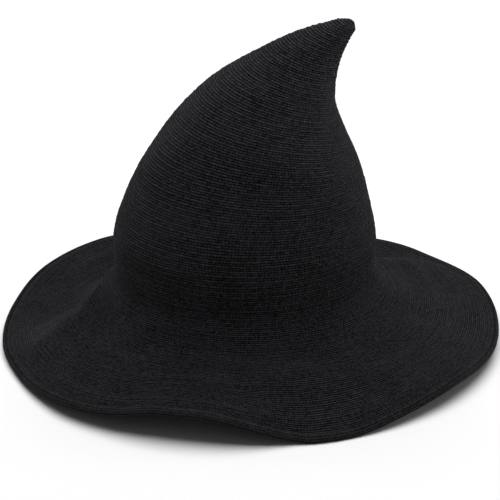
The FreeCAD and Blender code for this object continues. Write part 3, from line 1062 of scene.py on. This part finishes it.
pad_sheet = tape_face(PAD_OUTER - 0.35, PAD_SPAN, corner=3.0)
pad = slab("loop_pad", pad_sheet, thickness=0.6, material=LOOP_TAPE)
pad_face = tape_face(PAD_OUTER - 0.62, PAD_SPAN, corner=3.0)
pad_loops = nap_on("loop_pad_nap", pad_face, spacing=0.75, radius=0.3, sweep=210, thread=0.045, seed=3,
                   material=LOOP_TAPE)
pad_line = border_line(PAD_OUTER - 0.8, PAD_SPAN, end_inset=1.2, side_inset=2.0)
pad_stitches = stitches_along("loop_pad_stitches", pad_line, length=2.2, gap=0.7, radius=0.22, slant=6,
                              seed=12)
for piece, slot in ((pad, "loop_tape"), (pad_loops, "loop_tape"), (pad_stitches, "thread")):
    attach(piece, "hat")
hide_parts("adjuster_pad")

tab_sheet = tape_face(TAB_OUTER - 0.8, TAB_SPAN, corner=5.0)
tab = slab("hook_tab", tab_sheet, thickness=1.0, material=HOOK_TAPE)
tab_line = border_line(TAB_OUTER - 1.35, TAB_SPAN, end_inset=1.4, side_inset=2.4)
tab_stitches = stitches_along("hook_tab_stitches", tab_line, length=2.2, gap=0.7, radius=0.2, slant=6,
                              seed=14)
tab_face = tape_face(TAB_OUTER - 0.28, TAB_SPAN, corner=5.0)
tab_hooks = nap_on("hook_tab_hooks", tab_face[:, ::-1], spacing=1.0, radius=0.16, sweep=250, thread=0.04,
                   seed=6, material=HOOK_TAPE)
for piece, slot in ((tab, "hook_tape"), (tab_hooks, "hook_tape"), (tab_stitches, "thread")):
    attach(piece, "adjuster")
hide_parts("adjuster_tab")

tape_sheet = rounded_sheet(BACK_CENTRE, PAD_OUTER - 0.3, SEAM_TAPE_SPAN, BAND_FOOT + 4,
                           SEAM_TAPE_HEIGHT, corner=0.6)
seam_tape = slab("band_seam_tape_woven", tape_sheet, thickness=0.55, material=BLACK_TAPE)
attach(seam_tape, "hat")
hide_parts("band_seam_tape")


def folded_label():
    """Blank satin label, folded over at its top so that both ends are in the seam."""
    layer_gap = 0.34
    fold_radius = layer_gap / 2
    foot = BAND_FOOT + 5
    top = BAND_FOOT + 25 - fold_radius
    straight = np.linspace(foot, top, 12)
    turn = np.linspace(0, pi, 7)[1:-1]
    heights = np.concatenate([straight, top + fold_radius * np.sin(turn), straight[::-1]])
    near = SIDE_RADIUS - TAPE_GAP - 0.13
    flat_near = np.full(len(straight), near)
    fold = near - fold_radius + fold_radius * np.cos(turn)
    radii = np.concatenate([flat_near, fold, flat_near - layer_gap])
    angles = np.linspace(*LABEL_SPAN, 25)
    flat_row = np.ones((1, len(angles)))
    rows = [bend_round(SIDE_CENTRE, r, angles, flat_row * z)[0] for r, z in zip(radii, heights)]
    return slab("blank_label", np.array(rows), thickness=0.2, material=LABEL_SATIN)


label = folded_label()
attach(label, "hat")
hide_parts("size_label")

span_width(PAD_SPAN, PAD_OUTER) * MM
span_width(TAB_SPAN, TAB_OUTER) * MM
span_width(SEAM_TAPE_SPAN, PAD_OUTER) * MM
span_width(LABEL_SPAN, SIDE_RADIUS) * MM


# ---------------------------------------------------------------- floor, lights and camera

FLOOR_REACH = 6
floor_corners = [(x * FLOOR_REACH, y * FLOOR_REACH, 0) for x, y in ((-1, -1), (1, -1), (1, 1), (-1, 1))]
floor = new_object("floor", floor_corners, [(0, 1, 2, 3)])
floor.data.materials.append(Shade("pale_floor").set(Base_Color=(0.9, 0.9, 0.9, 1), Roughness=0.9))
floor.location.z = -0.0002


def soft_light(name, place, aim, size, power, spread=180):
    data = bpy.data.lights.new(name, "AREA")
    data.shape = "RECTANGLE"
    data.size, data.size_y = size
    data.energy = power
    data.spread = radians(spread)
    lamp = bpy.data.objects.new(name, data)
    lamp.location = place
    lamp.rotation_euler = (Vector(aim) - Vector(place)).to_track_quat("-Z", "Y").to_euler()
    bpy.context.scene.collection.objects.link(lamp)


soft_light("overhead", (0.0, 0.55, 2.4), (0, 0.1, 0), (3.2, 3.0), 96)
soft_light("right", (1.8, 0.1, 0.4), (0.05, 0, 0.16), (0.9, 0.6), 5)
soft_light("tip", (0.35, -0.75, 0.85), (0.085, 0, 0.255), (0.1, 0.1), 0.04, 16)

world = bpy.data.worlds.new("studio")
world.use_nodes = True
world.node_tree.nodes["Background"].inputs["Color"].default_value = (1, 1, 1, 1)
world.node_tree.nodes["Background"].inputs["Strength"].default_value = 0.12
bpy.context.scene.world = world
bpy.context.scene.view_settings.view_transform = "Standard"

CAMERA_DISTANCE = 1.514
CAMERA_ELEVATION = radians(23.5)
CAMERA_AIM = Vector((0, 0, 0.073))
camera_data = bpy.data.cameras.new("camera")
camera_data.lens = 137
camera_data.sensor_width = 36
camera = bpy.data.objects.new("camera", camera_data)
toward_camera = Vector((0, -cos(CAMERA_ELEVATION), sin(CAMERA_ELEVATION)))
camera.location = CAMERA_AIM + toward_camera * CAMERA_DISTANCE
camera.rotation_euler = (CAMERA_AIM - camera.location).to_track_quat("-Z", "Y").to_euler()
bpy.context.scene.collection.objects.link(camera)
bpy.context.scene.camera = camera
